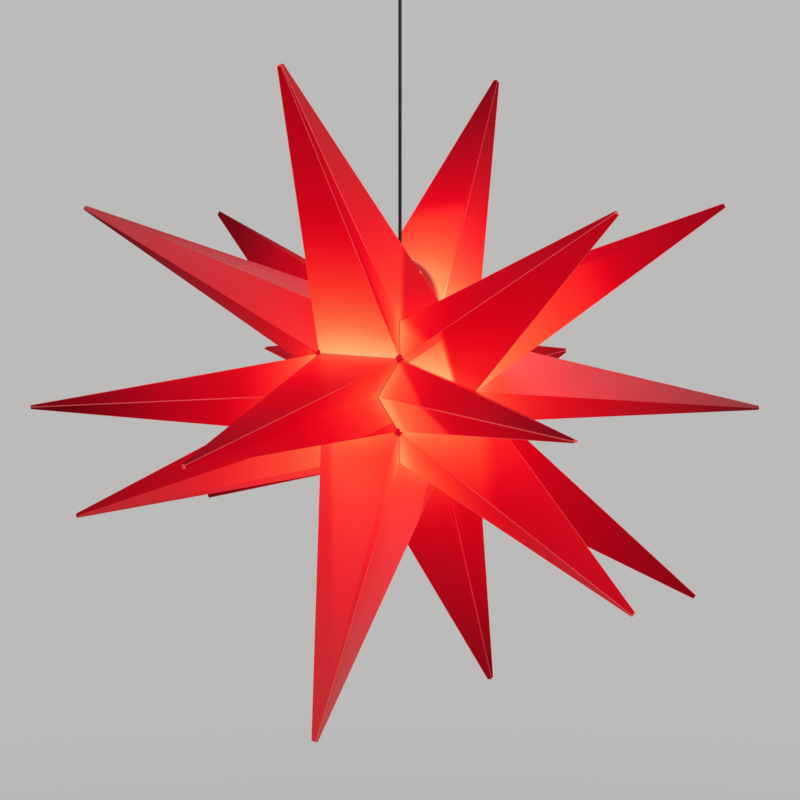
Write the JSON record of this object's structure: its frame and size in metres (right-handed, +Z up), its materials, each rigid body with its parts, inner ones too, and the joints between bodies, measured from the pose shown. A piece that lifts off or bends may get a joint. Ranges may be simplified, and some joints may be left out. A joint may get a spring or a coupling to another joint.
{
  "type": "star pendant lamp",
  "caption": "Folding star shade of hollow pointed spikes in rows, hung by a cord and lampholder from a ceiling cup, with a bulb inside.",
  "frame": {"origin": "centre of the ceiling plate's face, over the cord", "axes": "+Z up, +X along the star's fold axis, -Y towards the star's front column"},
  "size_m": [0.849, 0.9987, 1.0754],
  "materials": {
    "star_sheet": "semi-gloss translucent folded sheet",
    "tape": "hook and loop tape",
    "ties": "moulded tie",
    "cup_plastic": "fine moulded texture",
    "zinc_steel": "zinc plated",
    "block_plastic": "moulded",
    "brass": "plain",
    "cord_jacket": "smooth extruded jacket",
    "holder_plastic": "moulded",
    "ceramic": "glazed insulator",
    "bulb_shell": "rolled",
    "bulb_black": "glassy insulator",
    "bulb_white": "moulded",
    "bulb_diffuser": "opal diffuser"
  },
  "bodies": {
    "ceiling_fitting": {"ceiling_plate": "zinc_steel", "ceiling_cup": "cup_plastic", "cup_screws": "zinc_steel", "terminal_block": "block_plastic", "terminal_screws": "brass"},
    "pendant": {"swivel_ball": "holder_plastic", "cord_stop": "zinc_steel", "cord_stop_screw": "zinc_steel", "hanging_cord": "cord_jacket", "cord_grip": "holder_plastic", "holder_cap": "holder_plastic", "holder_body": "holder_plastic", "holder_insert": "ceramic", "threaded_shell": "brass", "centre_contact": "brass"},
    "bulb": {"bulb_base": "bulb_shell", "bulb_insulator": "bulb_black", "bulb_contact": "bulb_shell", "bulb_housing": "bulb_white", "bulb_globe": "bulb_diffuser"},
    "star": {"left_spike_1": "star_sheet", "left_spike_2": "star_sheet", "left_spike_3": "star_sheet", "left_spike_4": "star_sheet", "left_spike_5": "star_sheet", "left_spike_6": "star_sheet", "middle_spike_1": "star_sheet", "middle_spike_2": "star_sheet", "middle_spike_3": "star_sheet", "middle_spike_4": "star_sheet", "middle_spike_5": "star_sheet", "middle_spike_6": "star_sheet", "right_spike_1": "star_sheet", "right_spike_2": "star_sheet", "right_spike_3": "star_sheet", "right_spike_4": "star_sheet", "right_spike_5": "star_sheet", "right_spike_6": "star_sheet", "closing_tab_front": "star_sheet", "closing_tab_back": "star_sheet", "tape_hooks": "tape", "tape_loops": "tape", "corner_ties": "ties"}
  },
  "joints": [
    {"name": "pendant_swing", "type": "hinge", "parent": "ceiling_fitting", "child": "pendant", "pos_m": [0, 0, -0.046], "axis": [1, 0, 0], "range_deg": [-20, 20]},
    {"name": "star_turn", "type": "hinge", "parent": "pendant", "child": "star", "pos_m": [0, 0, -0.62], "axis": [0, 0, 1], "continuous": true},
    {"name": "bulb_unscrew", "type": "slide", "parent": "pendant", "child": "bulb", "axis": [0, 0, -1], "range_m": [0, 0.026]}
  ]
}
